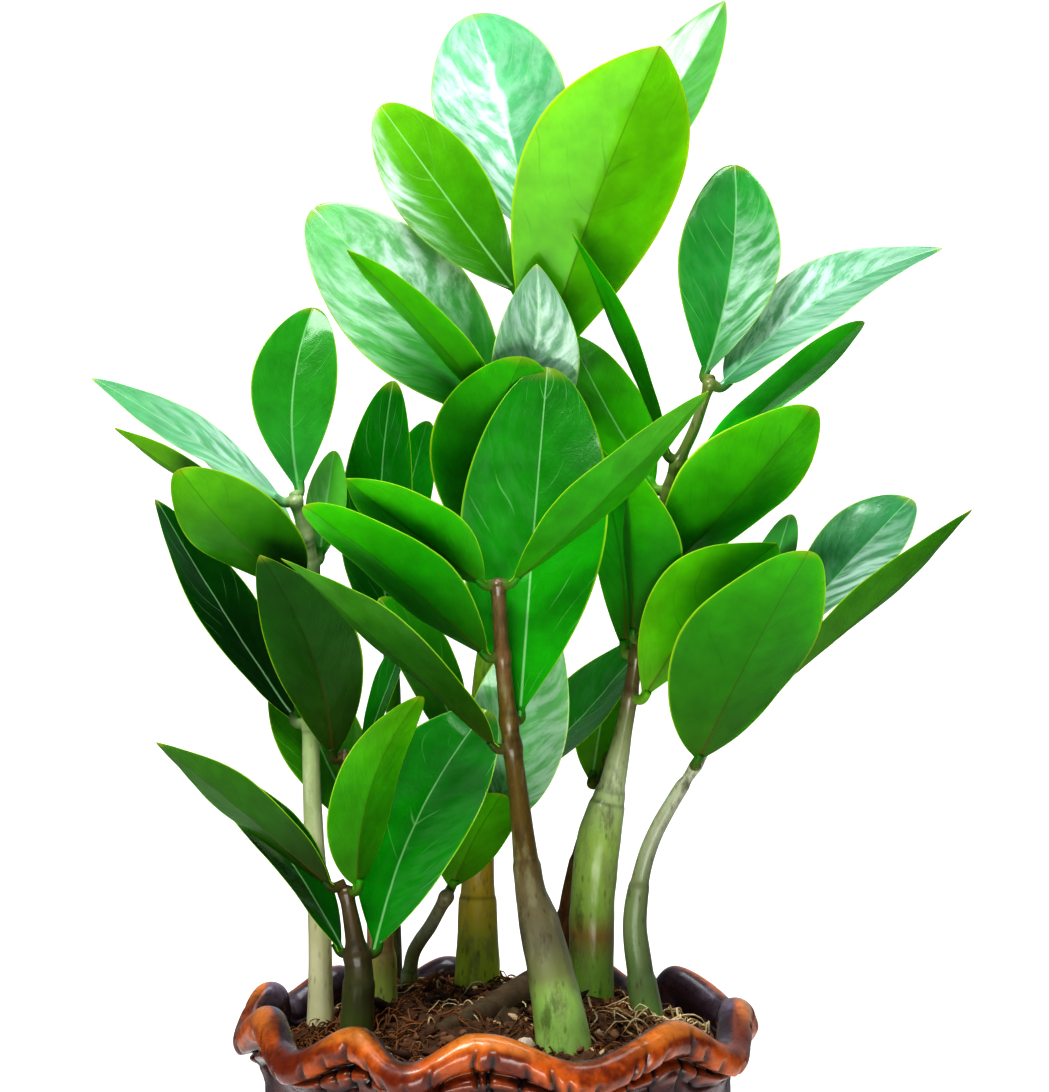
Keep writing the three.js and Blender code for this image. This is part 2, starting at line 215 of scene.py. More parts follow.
def reactiveGlaze():
    # earthenware dipped in an iron glaze that breaks from orange on the edges to plum-black in the
    # hollows; the glassy coat over it gives sharp lights
    material, add = newMaterial("iron_glazed_earthenware")
    place = add("TexCoord", out=3)
    inner, drop, cut, crest = (add("Attribute", out=2, attribute_name=key)
                               for key in ("inner", "drop", "cut", "crest"))
    drift = add("TexNoise", {"Vector": place, "Scale": 1 / glaze["patch"], "Detail": 4.0, "Roughness": 0.6})
    fine = add("TexNoise", {"Vector": place, "Scale": 1 / glaze["crackle"], "Detail": 3.0})
    warm = add("MapRange", {0: drift, 1: 0.42, 2: 0.6, 3: 0.0, 4: 1.0}, **softStep)
    body = add("Mix", {0: warm, 6: linear(glaze["redBrown"]), 7: linear(glaze["orange"])}, 2, **inColour)
    # painted highlight: amber along the top of the rolled edge, strongest on the crests
    high = add("MapRange", {0: crest, 1: 0.35, 2: 1.0, 3: 0.0, 4: 0.6}, **softStep)
    body = add("Mix", {0: high, 6: body, 7: linear(glaze["amberHighlight"])}, 2, **inColour)
    # the plum gathers inside the lip and in the hollows, flecked with mauve patches of painted reflection;
    # below the lip the colour turns plum towards the bottom
    ragged = add("Math", {0: drift, 1: 1.1}, **multiplied)
    pooled = add("Math", {0: inner, 1: ragged}, **added)
    pooled = add("MapRange", {0: pooled, 1: 0.88, 2: 1.25, 3: 0.0, 4: 1.0}, **softStep)
    reflectionPatches = add("MapRange", {0: drift, 1: 0.45, 2: 0.7, 3: 0.0, 4: 0.6}, **softStep)
    dark = add("Mix", {0: reflectionPatches, 6: linear(glaze["plum"]), 7: linear(glaze["mauveReflection"])}, 2, **inColour)
    body = add("Mix", {0: pooled, 6: body, 7: dark}, 2, **inColour)
    below = add("Math", {0: drop, 1: ragged}, **added)
    below = add("MapRange", {0: below, 1: 1.02, 2: 1.5, 3: 0.0, 4: 0.85}, **softStep)
    body = add("Mix", {0: below, 6: body, 7: linear(glaze["plum"])}, 2, **inColour)
    # near-black painted shade in the cuts, along the seam and in the hollow under the rolled edge
    body = add("Mix", {0: cut, 6: body, 7: linear(glaze["grooveShade"])}, 2, **inColour)
    grain = add("MapRange", {0: fine, 1: 0.3, 2: 0.7, 3: 0.8, 4: 1.15})
    body = add("Mix", {0: 1.0, 6: body, 7: grain}, 2, **inColour, blend_type="MULTIPLY")
    rough = add("MapRange", {0: fine, 1: 0.3, 2: 0.7, 3: 0.22, 4: 0.42})
    coat = add("MapRange", {0: drop, 1: 0.5, 2: 1.0, 3: 0.6, 4: 0.2})  # drier below the lip
    relief = add("Bump", {"Height": fine, "Strength": 0.25, "Distance": 0.4 * mm})
    surface = add("BsdfPrincipled", {
        "Base Color": body, "Roughness": rough, "Normal": relief,
        "Specular IOR Level": 0.35, "Coat Weight": coat, "Coat Roughness": 0.14,
    })
    add("OutputMaterial", {"Surface": surface})
    return material


def crumb(name, dark, light, cell, rough):
    # a dry, crumbly or fibrous thing: colour drifts between two tones over a few millimetres, no shine
    material, add = newMaterial(name)
    place = add("TexCoord", out=3)
    shade = add("Attribute", out=2, attribute_name="shade")
    drift = add("TexNoise", {"Vector": place, "Scale": 1 / cell, "Detail": 5.0, "Roughness": 0.7})
    fine = add("TexNoise", {"Vector": place, "Scale": 1 / (0.5 * mm), "Detail": 2.0})
    level = add("Math", {0: drift, 1: shade}, **added)
    level = add("MapRange", {0: level, 1: 0.35, 2: 1.25, 3: 0.0, 4: 1.0})
    tone = add("Mix", {0: level, 6: linear(dark), 7: linear(light)}, 2, **inColour)
    relief = add("Bump", {"Height": fine, "Strength": 0.6, "Distance": 0.3 * mm})
    surface = add("BsdfPrincipled", {
        "Base Color": tone, "Roughness": rough, "Normal": relief, "Specular IOR Level": 0.3,
    })
    add("OutputMaterial", {"Surface": surface})
    return material


def stemSkin(name, mottle, speck, shine):
    # a living stalk: waxy green or brown skin with paler mottling, dark specks and scars where leaves grew
    material, add = newMaterial(name)
    place = add("TexCoord", out=3)
    tone = add("Attribute", attribute_name="tone")
    scar = add("Attribute", out=2, attribute_name="scar")
    long = add("Mapping", {"Vector": place, "Scale": (1.0, 1.0, 0.35)})  # drawn out up the stalk
    cloud = add("TexNoise", {"Vector": long, "Scale": 1 / (4 * mm), "Detail": 5.0, "Roughness": 0.65})
    dots = add("TexVoronoi", {"Vector": long, "Scale": 1 / (2.2 * mm)})
    grey = add("MapRange", {0: cloud, 1: 0.48, 2: 0.64, 3: 0.0, 4: 0.42}, **softStep)
    skin = add("Mix", {0: grey, 6: tone, 7: linear(mottle)}, 2, **inColour)
    blotch = add("TexNoise", {"Vector": long, "Scale": 1 / (7 * mm), "Detail": 6.0, "Roughness": 0.7})
    blotch = add("MapRange", {0: blotch, 1: 0.53, 2: 0.66, 3: 0.0, 4: 0.5}, **softStep)
    skin = add("Mix", {0: blotch, 6: skin, 7: linear(speck)}, 2, **inColour)
    dark = add("MapRange", {0: dots, 1: 0.05, 2: 0.25, 3: 0.5, 4: 0.0})
    skin = add("Mix", {0: dark, 6: skin, 7: linear(speck)}, 2, **inColour)
    skin = add("Mix", {0: scar, 6: skin, 7: linear("#2A1C12")}, 2, **inColour)
    rough = add("MapRange", {0: cloud, 1: 0.3, 2: 0.7, 3: shine, 4: shine + 0.18})
    relief = add("Bump", {"Height": cloud, "Strength": 0.3, "Distance": 0.3 * mm})
    surface = add("BsdfPrincipled", {
        "Base Color": skin, "Roughness": rough, "Normal": relief, "Coat Weight": 0.4, "Coat Roughness": 0.22,
    })
    add("OutputMaterial", {"Surface": surface})
    return material


leafFinish = {
    "edge": "#BDEB28",  # thin yellow-green line of the margin
    "veinLight": "#BFE8B4", "veinDark": "#123A04",
    # pale mint of the painted sheen, a painted reflection
    "wax": "#E2F8EE",
    "midrib": "#BDEBB4", "ribFoot": "#7A4218", "foot": "#5C4A18",  # brown towards the stalk, below
    "ripe": "#A8B028",  # the very tip
    "veins": 7.0,  # side veins on each half
    "sweep": 2.3,  # how far a side vein leans towards the tip on its way out
}


def leafSkin(name, glow):
    # a thick, leathery leaf with a polished wax skin: mirror-like lights above, duller below,
    # a pale line along the midrib, light that soaks through the blade and streaks of pale painted reflection
    material, add = newMaterial(name)
    place = add("TexCoord", out=3)
    tone = add("Attribute", attribute_name="tone")
    rib = add("Attribute", attribute_name="rib")
    across, along, upper, gloss, wax, half = (add("Attribute", out=2, attribute_name=key)
                                              for key in ("across", "along", "upper", "gloss", "wax", "half"))
    cloud = add("TexNoise", {"Vector": place, "Scale": 1 / (9 * mm), "Detail": 3.0, "Roughness": 0.55})
    fine = add("TexNoise", {"Vector": place, "Scale": 1 / (0.9 * mm), "Detail": 2.0})
    level = add("MapRange", {0: cloud, 1: 0.3, 2: 0.7, 3: 0.84, 4: 1.14})
    blade = add("Mix", {0: 1.0, 6: tone, 7: level}, 2, **inColour, blend_type="MULTIPLY")
    # side veins: lines of equal (veins x along - sweep x |across|^1.3)
    away = add("Math", {0: across}, operation="ABSOLUTE")
    lean = add("Math", {0: away, 1: 1.3}, operation="POWER")
    lean = add("Math", {0: lean, 1: leafFinish["sweep"]}, **multiplied)
    count = add("Math", {0: along, 1: leafFinish["veins"]}, **multiplied)
    phase = add("Math", {0: count, 1: lean}, operation="SUBTRACT")
    bend = add("TexNoise", {"Vector": place, "Scale": 1 / (16 * mm), "Detail": 0.0})
    phase = add("Math", {0: phase, 1: bend}, **added)
    saw = add("Math", {0: phase, 1: 0.5}, operation="PINGPONG")
    line = add("MapRange", {0: saw, 1: 0.0, 2: 0.045, 3: 0.5, 4: 0.0}, **softStep)
    patch = add("TexNoise", {"Vector": place, "Scale": 1 / (14 * mm), "Detail": 1.0})
    fade = add("MapRange", {0: patch, 1: 0.48, 2: 0.68, 3: 0.0, 4: 1.0}, **softStep)
    line = add("Math", {0: line, 1: fade}, **multiplied)
    pale = add("Mix", {0: 0.45, 6: tone, 7: linear(leafFinish["veinLight"])}, 2, **inColour)
    dull = add("Mix", {0: 0.45, 6: tone, 7: linear(leafFinish["veinDark"])}, 2, **inColour)
    veinTone = add("Mix", {0: upper, 6: dull, 7: pale}, 2, **inColour)
    blade = add("Mix", {0: line, 6: blade, 7: veinTone}, 2, **inColour)
    # painted sheen: streaks of pale painted reflection that lie between the side veins
    drift = add("VectorMath", {0: place, 1: (45.0, 45.0, 45.0)}, **multiplied)  # slow change along the plant
    sheenStreak = add("CombineXYZ", {0: phase, 1: away, 2: upper})
    sheenStreak = add("VectorMath", {0: sheenStreak, 1: drift}, **added)
    sheenAndReliefNoise = add("TexNoise", {"Vector": sheenStreak, "Scale": 2.1, "Detail": 5.0, "Roughness": 0.62})
    between = add("Math", {0: saw, 1: 0.25}, **multiplied)
    between = add("Math", {0: sheenAndReliefNoise, 1: between}, **added)
    sheenStreak = add("MapRange", {0: between, 1: 0.42, 2: 0.72, 3: 0.2, 4: 1.0}, **softStep)
    # the pattern is squeezed where the blade is narrow, so it fades out there
    broad = add("MapRange", {0: half, 1: 2.5, 2: 8.0, 3: 0.0, 4: 1.0}, **softStep)
    sheenStreak = add("Mix", {0: broad, 2: 0.45, 3: sheenStreak})
    paintedSheenMask = add("Math", {0: sheenStreak, 1: wax}, **multiplied)
    # the painted sheen whitens the leaf colour: painted reflection
    blade = add("Mix", {0: paintedSheenMask, 6: blade, 7: linear(leafFinish["wax"])}, 2, **inColour)
    offRib = add("Math", {0: away, 1: half}, **multiplied)  # mm from the midrib
    tapered = add("MapRange", {0: along, 1: 0.0, 2: 1.0, 3: 0.62, 4: 0.26})
    middle = add("MapRange", {0: offRib, 1: 0.1, 2: tapered, 3: 0.75, 4: 0.0}, **softStep)
    blade = add("Mix", {0: middle, 6: blade, 7: rib}, 2, **inColour)
    margin = add("MapRange", {0: away, 1: 0.955, 2: 0.995, 3: 0.0, 4: 0.6}, **softStep)
    blade = add("Mix", {0: margin, 6: blade, 7: linear(leafFinish["edge"])}, 2, **inColour)
    polish = add("MapRange", {0: gloss, 1: 0.0, 2: 1.0, 3: 0.45, 4: 0.17})
    coat = add("MapRange", {0: gloss, 1: 0.0, 2: 1.0, 3: 0.12, 4: 0.6})
    rough = add("MapRange", {0: fine, 1: 0.3, 2: 0.7, 3: 0.0, 4: 0.08})
    rough = add("Math", {0: polish, 1: rough}, **added)
    height = add("Math", {0: fine, 1: line}, operation="SUBTRACT")
    quilt = add("Math", {0: broad, 1: 6.0}, **multiplied)
    quilt = add("Math", {0: quilt, 1: sheenAndReliefNoise}, **multiplied)
    height = add("Math", {0: height, 1: quilt}, **added)
    # flat where the blade is seen edge-on, else the relief sparkles there
    facing = add("LayerWeight", {"Blend": 0.5}, 1)
    strength = add("MapRange", {0: facing, 1: 0.55, 2: 0.85, 3: 0.3, 4: 0.02})
    relief = add("Bump", {"Height": height, "Strength": strength, "Distance": 0.16 * mm})
    surface = add("BsdfPrincipled", {
        "Base Color": blade, "Roughness": rough, "Normal": relief,
        "Specular IOR Level": 0.12, "Coat Weight": coat, "Coat Roughness": 0.12,
        "Subsurface Weight": glow, "Subsurface Radius": (0.5, 1.0, 0.2), "Subsurface Scale": 2.5 * mm,
    })
    add("OutputMaterial", {"Surface": surface})
    return material


def seamlessPaper():
    # matt white studio paper that fades out into the white of the room
    material, add = newMaterial("studio_paper")
    place = add("TexCoord", out=3)
    grain = add("TexNoise", {"Vector": place, "Scale": 400.0, "Detail": 2.0})
    tone = add("MapRange", {0: grain, 1: 0.3, 2: 0.7, 3: 0.78, 4: 0.82})
    away = add("VectorMath", {0: place}, 1, operation="LENGTH")
    there = add("MapRange", {0: away, 1: 0.16, 2: 0.4, 3: 1.0, 4: 0.0}, **softStep)
    surface = add("BsdfPrincipled", {"Base Color": tone, "Roughness": 0.9, "Alpha": there})
    add("OutputMaterial", {"Surface": surface})
    return material


# pot

pot = {
    "baseRadius": 53 * mm, "neckRadius": 66.5 * mm, "rimRadius": 71.5 * mm, "wall": 5 * mm,
    "floor": 7 * mm, "lipDrop": 21 * mm, "ruffle": 5 * mm, "flare": 2.5 * mm,
    "bevel": 3 * mm,
    "crests": [-100, -71, -34, -5, 45, 82, 128, 156, 193, 226],  # degrees from the front
    "roll": 5.3 * mm,  # radius of the rolled edge
    "band": 13 * mm,  # height of the plain band under the edge
    "bandSwell": 1.3 * mm, "waist": 3.4 * mm,  # how far the band stands out, and the hollow under the edge
    "cuts": 62, "cutDepth": 1.7 * mm, "cutWidth": 0.75 * mm, "seamDepth": 0.9 * mm,
    "columns": 640,
}


def ruffleAt(degrees):
    # +1 on a crest and -1 midway between two crests: the cosine of one whole turn from crest to crest
    crests = np.array(pot["crests"] + [pot["crests"][0] + 360], float)
    turn = (degrees - crests[0]) % 360 + crests[0]
    i = np.clip(np.searchsorted(crests, turn, side="right") - 1, 0, len(crests) - 2)
    return np.cos((turn - crests[i]) / (crests[i + 1] - crests[i]) * 2 * np.pi)


def wallRadius(share):
    # base + (neck - base) sin(share x 90 degrees)^0.9, from 0 at the underside to 1 at the neck
    return pot["baseRadius"] + (pot["neckRadius"] - pot["baseRadius"]) * math.sin(share * math.pi / 2) ** 0.9


def lipThickness(rise):
    # half the wall, growing to the radius of the rolled edge
    return pot["wall"] / 2 + (pot["roll"] - pot["wall"] / 2) * smoothStep(0.5, 0.85, rise)


def makePot():
    # a grid of angle by profile: up the outside, over the rolled lip and down the inside
    angle = np.arange(pot["columns"]) / pot["columns"] * 2 * np.pi
    ruffle = ruffleAt(np.degrees(angle))
    ruffle = ruffle + 0.14 * np.sin(3 * angle + 1.0) + 0.08 * np.sin(17 * angle)
    middle = pot["neckRadius"] - pot["wall"] / 2

    def lip(rise, side, thick):
        # radius and height at a rise from 0 at the neck to 1 at the edge
        top = pot["rimRadius"] - pot["flare"] * ruffle
        radius = middle + (top - middle) * rise**1.5 + side * thick
        return radius, potHeight + pot["ruffle"] * ruffle * rise - pot["lipDrop"] * (1 - rise)

    rows = []
    rise = []
    inner = []
    neckHeight = potHeight - pot["lipDrop"]
    still = np.ones_like(angle)
    floorRadius = pot["baseRadius"] - pot["bevel"]
    for share in (0.002, 0.5, 0.97, 1.0):
        rows.append((floorRadius * share * still, 0 * still))
        rise.append(-1.0)
        inner.append(0.0)
    for share in np.linspace(0.01, 0.985, 26):
        bevel = pot["bevel"] * max(0, 1 - share * neckHeight / pot["bevel"]) ** 2
        rows.append(((wallRadius(share) - bevel) * still, neckHeight * share * still))
        rise.append(share - 1)
        inner.append(0.0)
    bandRise = 1 - pot["band"] / pot["lipDrop"]
    for r in np.linspace(0.0, 0.6, 26):
        bulge = (pot["bandSwell"] * smoothStep(bandRise - 0.05, bandRise + 0.06, r)
                 - pot["waist"] * math.exp(-((r - 0.6) / 0.07) ** 2))
        rows.append(lip(r, 1, lipThickness(r) + bulge))
        rise.append(r)
        inner.append(0.0)
    radius, height = lip(0.8, 0, 0)
    for turn in np.radians(np.linspace(-50, 192, 28)):
        rows.append((radius + pot["roll"] * math.cos(turn), height + pot["roll"] * math.sin(turn)))
        rise.append(0.76 + 0.25 * float(smoothStep(-50, 50, math.degrees(turn))))
        inner.append(float(smoothStep(60, 120, math.degrees(turn))))
    for r in np.linspace(0.74, 0.0, 20):
        rows.append(lip(r, -1, lipThickness(r)))
        rise.append(r)
        inner.append(1.0)
    for share in np.linspace(0.9, 0.1, 6):
        inside = max(neckHeight * share, pot["floor"])
        rows.append(((wallRadius(share) - pot["wall"]) * still, inside * still))
        rise.append(-1.0)
        inner.append(1.0)
    rows.append(((pot["baseRadius"] - 2 * pot["wall"]) * still, pot["floor"] * still))
    rows.append((0.05 * mm * still, pot["floor"] * still))
    rise += [-1.0, -1.0]
    inner += [1.0, 1.0]
    radius = np.array([row[0] for row in rows])
    height = np.array([row[1] for row in rows])
    rise = np.array(rise)[:, None]
    inner = np.array(inner)[:, None]

    # upright cuts through the band's lower border, each a narrow bell-shaped groove
    dice = np.random.default_rng(11)
    spot = (np.arange(pot["cuts"]) + dice.uniform(-0.32, 0.32, pot["cuts"])) / pot["cuts"] * 2 * np.pi
    topRise = dice.uniform(0.9, 1.06, pot["cuts"])
    footRise = dice.uniform(0.1, 0.6, pot["cuts"])
    cut = np.zeros_like(radius)
    for k in range(pot["cuts"]):
        bend = 0.012 * np.sin(9 * rise + k)
        gap = np.abs((angle - spot[k] - bend + np.pi) % (2 * np.pi) - np.pi) * pot["rimRadius"]
        ends = smoothStep(footRise[k] - 0.08, footRise[k], rise)
        ends = ends * (1 - smoothStep(topRise[k] - 0.15, topRise[k], rise))
        width = pot["cutWidth"] * (0.7 + 0.6 * dice.random())
        cut = np.maximum(cut, np.exp(-(gap / width) ** 2) * ends)
    cut *= 1 - inner
    # the border between the band and the wall below it is itself a ragged groove, darkened with painted shade
    border = bandRise + 0.05 * np.sin(11 * angle) + 0.04 * np.sin(23 * angle + 2)
    seam = np.exp(-((rise - border) / 0.045) ** 2) * (1 - inner) * 0.8
    # painted shade: a dark band in the hollow under the rolled edge
    shadeUnderRoll = np.exp(-((rise - 0.6) / 0.08) ** 2) * (1 - inner) * (0.7 + 0.3 * np.sin(7 * angle))
    radius = radius - pot["cutDepth"] * cut - pot["seamDepth"] * seam
    points = np.stack([radius * np.sin(angle), -radius * np.cos(angle), height], -1)
    shown = smoothStep(-1.0, -0.7, rise)
    wobble = 0.5 * mm * lumps(points, 13 * mm, 3) + 0.25 * mm * lumps(points, 5 * mm, 4)
    outward = np.stack([np.sin(angle), -np.cos(angle), 0 * angle], -1)
    points = points + outward * (wobble * shown)[..., None]
    trough = np.clip(-ruffle, 0, 1) * smoothStep(0.9, 1.0, rise) * (1 - inner)
    hollow = inner * (0.9 - 0.12 * ruffle) + 0.5 * trough
    below = 1 - smoothStep(0.1, 0.95, rise)
    fadeDown = smoothStep(-1.0, -0.55, rise)
    # where the amber painted highlight lies: the top of the rolled edge outside, more on the crests
    crest = smoothStep(0.86, 1.0, rise) * (1 - inner) * (0.6 + 0.4 * ruffle) + 0 * angle
    # the cut attribute carries painted shade: the cuts, the seam and the hollow under the rolled edge
    grid = skins(points[None], inner=hollow[None], drop=(below * fadeDown + 0 * angle)[None],
                 cut=np.clip(cut + seam + shadeUnderRoll, 0, 1)[None], crest=crest[None])
    makePiece("ruffled_pot", [grid], reactiveGlaze(), "pot_glaze", "pot")
    print("pot made")


makePot()


# soil

soil = {
    "radius": 61.2 * mm, "edge": 99 * mm, "mound": 13 * mm, "shift": 12 * mm,
    "dark": "#150C08", "light": "#7E5A42",
    "fibres": 900, "tuft": 170, "tangle": 60, "roots": 60,
    "chips": 170, "crumbs": 420, "grains": 34, "paleChips": 150,
}


def soilHeight(x, y):
    # a low dome that leans to the back: edge + mound (1 - share^2)(1 + 2 shift y / radius^2)
    share = np.minimum(1, np.hypot(x, y) / soil["radius"])
    return soil["edge"] + soil["mound"] * (1 - share**2) * (1 + 2 * soil["shift"] * y / soil["radius"] ** 2)


def soilSurface(x, y):
    flat = np.stack([x, y, 0 * x], -1)
    rough = (1.7 * lumps(flat, 9 * mm, 21) + 1.1 * lumps(flat, 4 * mm, 22)
             + 0.8 * np.abs(lumps(flat, 2.1 * mm, 23)) + 0.35 * lumps(flat, 1.1 * mm, 24))
    return soilHeight(x, y) + rough * mm


def onSoil(dice, count, spread, area):
    # places scattered evenly over the mound, or gathered about an area given as x, y and width
    angle = dice.uniform(0, 2 * np.pi, count)
    radius = soil["radius"] * spread * np.sqrt(dice.uniform(0, 1, count))
    if area:
        return area[0] + dice.normal(0, area[2], count), area[1] + dice.normal(0, area[2], count)
    return radius * np.sin(angle), -radius * np.cos(angle)


def makeMound():
    # rings from the buried foot to the middle of the surface, lifted by four sizes of lumps
    angle = np.arange(400) / 400 * 2 * np.pi
    share = np.concatenate([[0.05, 1.0, 1.0], np.linspace(1.015, 0.001, 112)])[:, None]
    x, y = soil["radius"] * share * np.sin(angle), -soil["radius"] * share * np.cos(angle)
    z = soilSurface(x, y)
    z[:2] = soil["edge"] - 40 * mm
    z[2] = soil["edge"] - 12 * mm
    shade = 0.5 + 0.5 * lumps(np.stack([x, y, z], -1), 5 * mm, 25)
    makePiece("soil_mound", [skins(np.stack([x, y, z], -1)[None], shade=shade[None] * 0.55)],
              crumb("damp_coir_mix", soil["dark"], soil["light"], 3 * mm, 0.95), "potting_mix", "soil")


def makeFibres(name, count, seed, length, thick, lift, spread, material, area=None):
    # curled threads that lie on the soil: a start, a heading that turns steadily, and a low arch
    dice = np.random.default_rng(seed)
    x, y = onSoil(dice, count, spread, area)
    size = dice.uniform(*length, count)[:, None]
    heading = dice.uniform(0, 2 * np.pi, count)[:, None]
    turn = dice.uniform(-2.6, 2.6, count)[:, None]
    t = np.linspace(0, 1, 9)[None]
    way = heading + turn * t
    step = size / 8
    px = x[:, None] + np.cumsum(np.cos(way) * step, 1)
    py = y[:, None] + np.cumsum(np.sin(way) * step, 1)
    inside = np.minimum(1, soil["radius"] * 0.985 / np.maximum(np.hypot(px, py), 1e-6))
    px, py = px * inside, py * inside
    arch = dice.uniform(*lift, count)[:, None] * np.sin(np.pi * t)
    arch = arch + dice.uniform(-0.4, 0.5, count)[:, None] * mm
    pz = soilSurface(px, py) + arch
    width = dice.uniform(*thick, count)[:, None] * (1 - 0.75 * t**3)
    shade = np.broadcast_to(dice.uniform(0, 1, (count, 1, 1)), (count, 9, 5))
    makePiece(name, [tubes(np.stack([px, py, pz], -1), width, 5, shade=shade)], material, "potting_mix")


def makeShards(name, count, seed, size, flat, material, sink, area=None):
    # broken bits: squashed balls of five rings of seven corners, each corner pushed in or out
    dice = np.random.default_rng(seed)
    x, y = onSoil(dice, count, 0.93, area)
    scale = dice.uniform(*size, count)[:, None, None]
    angle = (np.arange(7) / 7 * 2 * np.pi)[None, None]
    polar = np.array([0.25, 0.9, 1.6, 2.3, 2.9])[None, :, None]
    ball = np.stack([np.sin(polar) * np.cos(angle) + 0 * scale, np.sin(polar) * np.sin(angle) + 0 * scale,
                     np.cos(polar) * flat + 0 * angle + 0 * scale], -1)
    ball *= scale[..., None] * dice.uniform(0.6, 1.25, (count, 5, 7, 1))
    stretch = dice.uniform(0.8, 1.9, (count, 1, 1))
    ball[..., 0] *= stretch
    yaw, tilt = dice.uniform(0, 2 * np.pi, (count, 1, 1)), dice.uniform(-0.7, 0.7, (count, 1, 1))
    bx = ball[..., 0] * np.cos(tilt) + ball[..., 2] * np.sin(tilt)
    bz = ball[..., 2] * np.cos(tilt) - ball[..., 0] * np.sin(tilt)
    px = bx * np.cos(yaw) - ball[..., 1] * np.sin(yaw)
    py = bx * np.sin(yaw) + ball[..., 1] * np.cos(yaw)
    centre = np.stack([x, y, soilSurface(x, y) - sink * scale[:, 0, 0]], -1)
    points = centre[:, None, None] + np.stack([px, py, bz], -1)
    shade = np.broadcast_to(dice.uniform(0, 1, (count, 1, 1)), (count, 5, 7))
    makePiece(name, [skins(points, shade=shade)], material, "potting_mix")


rhizome = {
    "place": (-2 * mm, -13 * mm), "size": (21 * mm, 17 * mm, 13 * mm), "sink": 4 * mm,
    "turn": math.radians(-25),
}


def makeRhizome():
    # a lumpy ball, wider than tall, with ring scars and an elbow that dips into the soil
    polar = np.linspace(0.02, math.pi - 0.02, 40)[:, None]
    angle = np.arange(56) / 56 * 2 * np.pi
    ball = np.stack([np.cos(polar) + 0 * angle, np.sin(polar) * np.cos(angle),
                     np.sin(polar) * np.sin(angle)], -1)
    shape = ball * (np.array(rhizome["size"]) / 2) * 1.04
    swell = 1 + 0.07 * lumps(ball, 0.6, 31) + 0.04 * np.sin(13 * polar)
    shape = shape * swell[..., None] + 0.4 * mm * lumps(shape, 2.5 * mm, 32)[..., None] * ball
    c, s = math.cos(rhizome["turn"]), math.sin(rhizome["turn"])
    x, y = rhizome["place"]
    points = np.stack([shape[..., 0] * c - shape[..., 1] * s + x, shape[..., 0] * s + shape[..., 1] * c + y,
                       shape[..., 2] + soilHeight(x, y) - rhizome["sink"]], -1)
    shade = 0.45 + 0.3 * lumps(points, 4 * mm, 33)
    rhizomeSkin = crumb("rhizome_skin", "#1E130B", "#6E5A42", 4 * mm, 0.7)
    # a stout side shoot of it, half sunk, that climbs from the front left to the back right
    along = np.linspace(0, 1, 60)
    px, py = (-17 + 30 * along) * mm, (-27 + 33 * along - 6 * np.sin(np.pi * along)) * mm
    shoot = np.stack([px, py, soilHeight(px, py) + (-0.6 + 2.4 * along) * mm], -1)
    thick = (2.0 + 4.2 * along**0.8 + 0.1 * np.sin(64 * along + 3 * np.sin(9 * along))) * mm
    bark = tubes(shoot[None], thick, 20, shade=0.4)
    bark["verts"] = bark["verts"] + 0.6 * mm * lumps(bark["verts"], 2.6 * mm, 34)[:, None]
    hump = skins(points[None], shade=shade[None])
    makePiece("rhizome_hump", [hump, bark], rhizomeSkin, "rhizome", "rhizome")


def makeSoil():
    makeMound()
    coir = crumb("coir_fibre", "#241208", "#94623C", 6 * mm, 0.85)
    bark = crumb("pine_bark", "#180C07", "#5E3E2C", 5 * mm, 0.75)
    root = crumb("dry_root", "#8A6A44", "#E6D2A8", 5 * mm, 0.7)
    grain = crumb("perlite", "#B8B2A6", "#F2EEE2", 2 * mm, 0.9)
    # name, how many, seed, shortest and longest, thinnest and thickest, lowest and highest arch, spread
    makeFibres("coir_fibres", soil["fibres"], 41, (3 * mm, 11 * mm), (0.12 * mm, 0.34 * mm),
               (0.2 * mm, 2.4 * mm), 0.98, coir)
    makeFibres("coir_tuft_left", soil["tuft"], 42, (5 * mm, 14 * mm), (0.16 * mm, 0.36 * mm),
               (0.6 * mm, 4 * mm), 0.9, coir, (-44 * mm, -20 * mm, 8 * mm))
    makeFibres("root_tangle_right", soil["tangle"], 43, (7 * mm, 18 * mm), (0.2 * mm, 0.4 * mm),
               (1 * mm, 5 * mm), 0.9, root, (50 * mm, -12 * mm, 5 * mm))
    makeFibres("dry_roots", soil["roots"], 44, (3 * mm, 12 * mm), (0.16 * mm, 0.45 * mm),
               (0.5 * mm, 3 * mm), 0.9, root)
    # name, how many, seed, smallest and largest, flatness, material, how deep each one sinks
    makeShards("bark_chips", soil["chips"], 45, (1.4 * mm, 4.2 * mm), 0.45, bark, 0.1)
    pith = crumb("coir_pith", "#180D08", "#8A6248", 2 * mm, 0.95)
    makeShards("soil_crumbs", soil["crumbs"], 46, (0.6 * mm, 1.7 * mm), 0.8, pith, -0.2)
    makeShards("perlite_grains", soil["grains"], 47, (0.7 * mm, 1.7 * mm), 0.9, grain, 0.0,
               (3 * mm, 20 * mm, 6 * mm))
    pale = crumb("pale_chip", "#6E4A34", "#D8B894", 2 * mm, 0.85)
    makeShards("pale_chips", soil["paleChips"], 48, (0.6 * mm, 1.9 * mm), 0.5, pale, 0.0)
    pink = crumb("pink_pebble", "#A8887A", "#DCC4B4", 4 * mm, 0.5)
    makeShards("pebble", 1, 49, (2.6 * mm, 2.7 * mm), 0.9, pink, -0.3, (8 * mm, -42 * mm, 0.1 * mm))
    makeRhizome()
    print("soil made")


makeSoil()


# stems

